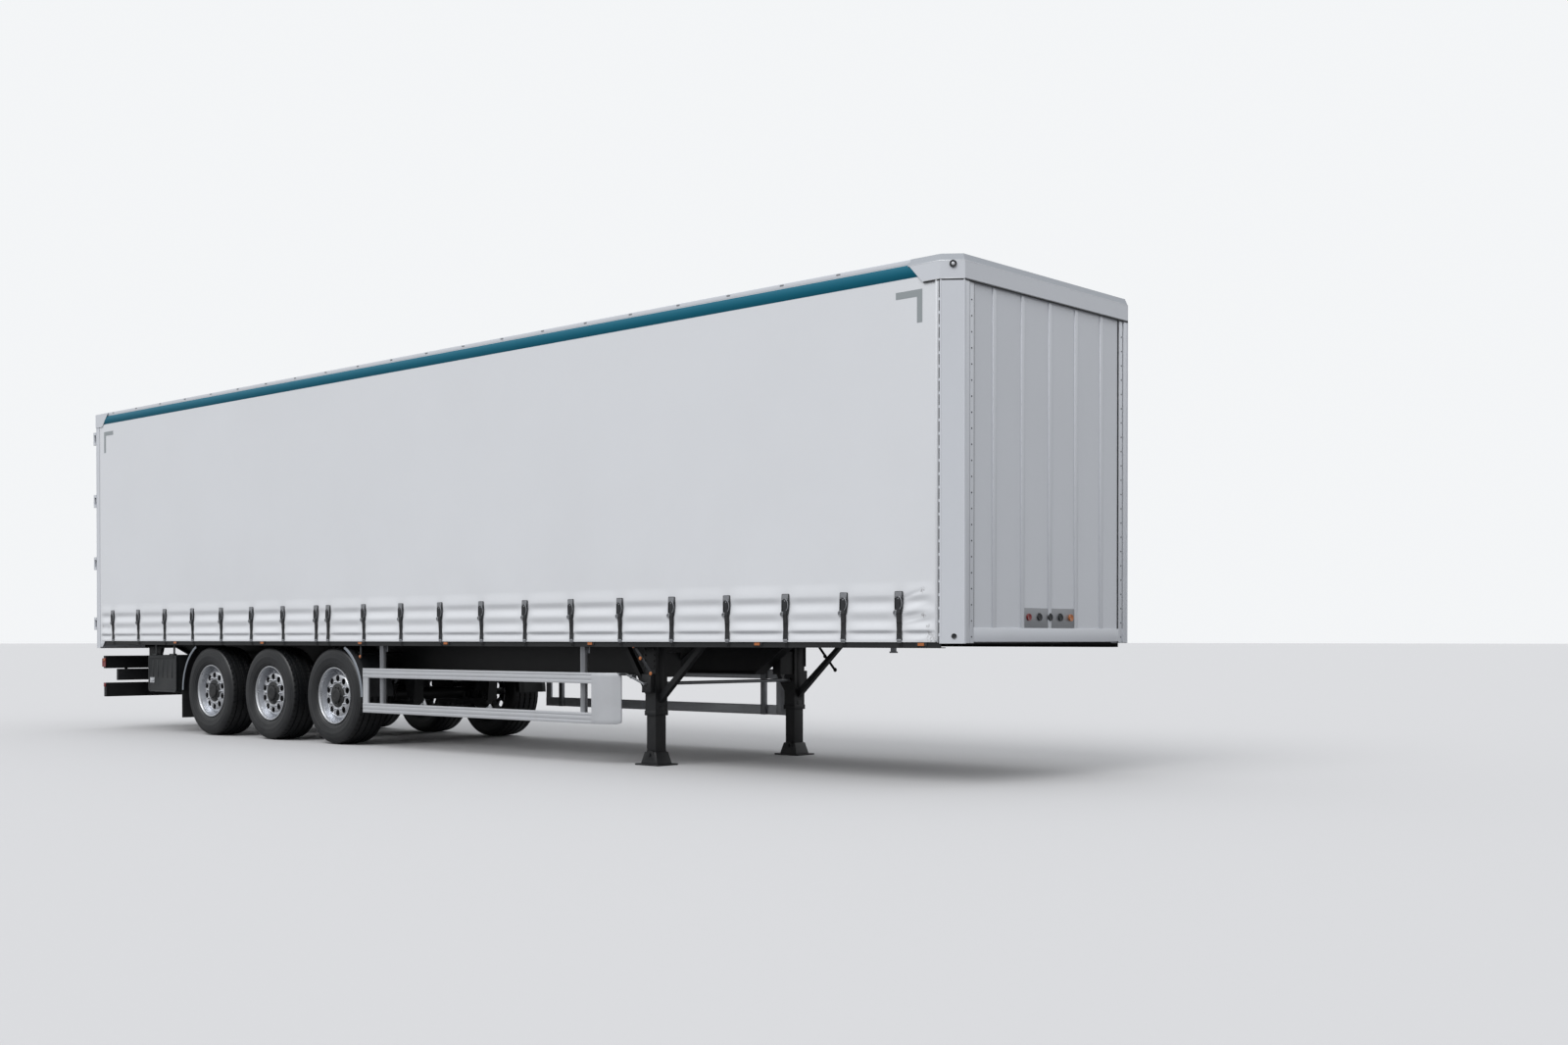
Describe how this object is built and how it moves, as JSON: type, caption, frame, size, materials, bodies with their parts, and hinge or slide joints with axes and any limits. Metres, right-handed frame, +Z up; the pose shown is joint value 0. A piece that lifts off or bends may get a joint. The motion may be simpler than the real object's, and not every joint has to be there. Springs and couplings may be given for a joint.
{
  "type": "curtainside semi trailer",
  "caption": "Full-size curtainside semi trailer on lowered landing legs, with hinged rear doors, side guards, toolbox and free-turning wheels on a bogie",
  "frame": {"origin": "on the ground, below the middle of the trailer's bounding box", "axes": "+X forward to the coupling end, +Y to the left side, +Z up"},
  "size_m": [13.68, 2.576, 4],
  "materials": {
    "chassis_steel": "satin black paint",
    "floor_plywood": "brown phenolic plywood",
    "white_paint": "white gloss paint",
    "aluminium": "satin anodised",
    "trim_teal": "teal gloss",
    "curtain_fabric": "light grey coated fabric",
    "roof_fabric": "white coated fabric",
    "strap_black": "black webbing",
    "galvanised": "zinc plated",
    "tyre": "black rubber with road dust",
    "wheel_silver": "silver paint",
    "black_plastic": "black moulded plastic",
    "grey_plastic": "dark grey moulded plastic",
    "rubber": "black rubber",
    "lamp_red": "red lens",
    "lamp_amber": "amber lens",
    "plywood_lath": "pale timber"
  },
  "bodies": {
    "trailer": {"main_rail_left": "chassis_steel", "main_rail_right": "chassis_steel", "cross_members": "chassis_steel", "side_rails": "chassis_steel", "load_floor": "floor_plywood", "coupler_plate": "chassis_steel", "kingpin": "galvanised", "front_wall": "white_paint", "front_posts": "white_paint", "front_header": "white_paint", "roof_rails": "white_paint", "roof_trim": "trim_teal", "roof_bows": "aluminium", "roof_cover": "roof_fabric", "rear_frame": "white_paint", "curtain_left": "curtain_fabric", "curtain_right": "curtain_fabric", "strap_set_left": "strap_black", "strap_set_right": "strap_black", "side_posts": "galvanised", "side_laths": "plywood_lath", "axles": "chassis_steel", "suspension_arms": "chassis_steel", "air_springs": "rubber", "mudguards": "black_plastic", "mud_flaps": "rubber", "leg_housings": "chassis_steel", "landing_feet": "chassis_steel", "leg_shaft": "galvanised", "leg_braces": "chassis_steel", "side_guards": "aluminium", "underrun_bar": "chassis_steel", "light_bar": "chassis_steel", "rear_lamps": "lamp_red", "toolbox": "grey_plastic", "air_tanks": "chassis_steel", "side_lamps": "lamp_amber", "dock_buffers": "rubber", "front_couplings": "galvanised"},
    "door_left": {"door_left": "white_paint", "lock_bars_left": "galvanised"},
    "door_right": {"door_right": "white_paint", "lock_bars_right": "galvanised"},
    "toolbox_lid": {"toolbox_lid": "grey_plastic"},
    "wheel_front_left": {"wheel_front_left": "wheel_silver", "tyre_front_left": "tyre"},
    "wheel_front_right": {"wheel_front_right": "wheel_silver", "tyre_front_right": "tyre"},
    "wheel_middle_left": {"wheel_middle_left": "wheel_silver", "tyre_middle_left": "tyre"},
    "wheel_middle_right": {"wheel_middle_right": "wheel_silver", "tyre_middle_right": "tyre"},
    "wheel_rear_left": {"wheel_rear_left": "wheel_silver", "tyre_rear_left": "tyre"},
    "wheel_rear_right": {"wheel_rear_right": "wheel_silver", "tyre_rear_right": "tyre"}
  },
  "joints": [
    {"name": "wheel_front_left_turn", "type": "hinge", "parent": "trailer", "child": "wheel_front_left", "pos_m": [-1.47, 1.03, 0.522], "axis": [0, 1, 0], "continuous": true},
    {"name": "wheel_front_right_turn", "type": "hinge", "parent": "trailer", "child": "wheel_front_right", "pos_m": [-1.47, -1.03, 0.522], "axis": [0, 1, 0], "continuous": true},
    {"name": "wheel_middle_left_turn", "type": "hinge", "parent": "trailer", "child": "wheel_middle_left", "pos_m": [-2.76, 1.03, 0.522], "axis": [0, 1, 0], "continuous": true},
    {"name": "wheel_middle_right_turn", "type": "hinge", "parent": "trailer", "child": "wheel_middle_right", "pos_m": [-2.76, -1.03, 0.522], "axis": [0, 1, 0], "continuous": true},
    {"name": "wheel_rear_left_turn", "type": "hinge", "parent": "trailer", "child": "wheel_rear_left", "pos_m": [-4.05, 1.03, 0.522], "axis": [0, 1, 0], "continuous": true},
    {"name": "wheel_rear_right_turn", "type": "hinge", "parent": "trailer", "child": "wheel_rear_right", "pos_m": [-4.05, -1.03, 0.522], "axis": [0, 1, 0], "continuous": true},
    {"name": "door_left_swing", "type": "hinge", "parent": "trailer", "child": "door_left", "pos_m": [-6.82, 1.262, 2.5], "axis": [0, 0, -1], "range_deg": [0, 260]},
    {"name": "door_right_swing", "type": "hinge", "parent": "trailer", "child": "door_right", "pos_m": [-6.82, -1.262, 2.5], "axis": [0, 0, 1], "range_deg": [0, 260]},
    {"name": "toolbox_lid_lift", "type": "hinge", "parent": "trailer", "child": "toolbox_lid", "pos_m": [-5.1275, -1.218, 0.944], "axis": [-1, 0, 0], "range_deg": [0, 90]}
  ]
}
